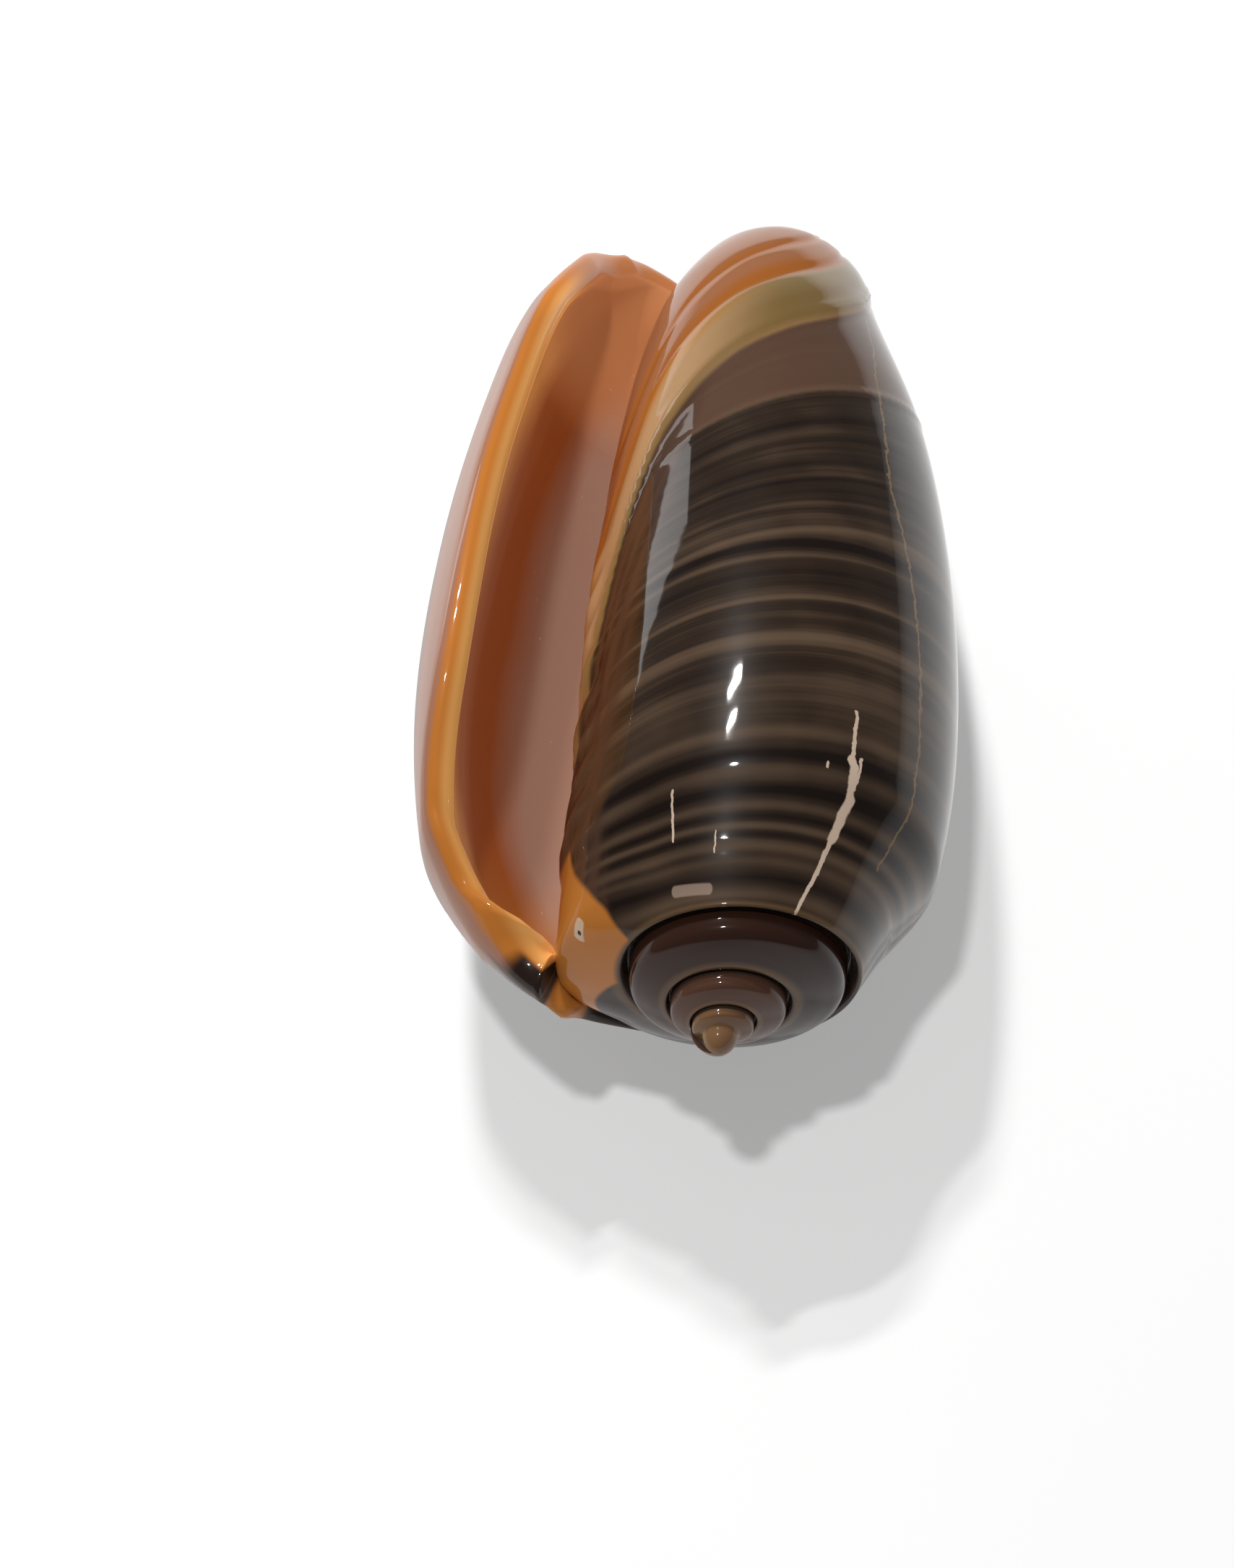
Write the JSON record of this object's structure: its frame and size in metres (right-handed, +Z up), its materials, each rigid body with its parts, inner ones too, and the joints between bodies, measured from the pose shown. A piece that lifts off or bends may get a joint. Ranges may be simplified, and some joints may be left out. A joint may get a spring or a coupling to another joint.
{
  "type": "olive seashell",
  "caption": "Glossy right-coiled seashell with a long narrow mouth and a low pointed spire, lying on its back on a small flat spot.",
  "frame": {"origin": "centre of the bounding box at its underside, on the resting flat", "axes": "+Y along the shell from the spire to the front end, +Z up out of the mouth side, +X to the right seen from above with the spire at the bottom"},
  "size_m": [0.0326, 0.0654, 0.0274],
  "materials": {
    "shell": "gloss"
  },
  "bodies": {
    "root": {"shell": "shell"}
  },
  "joints": []
}
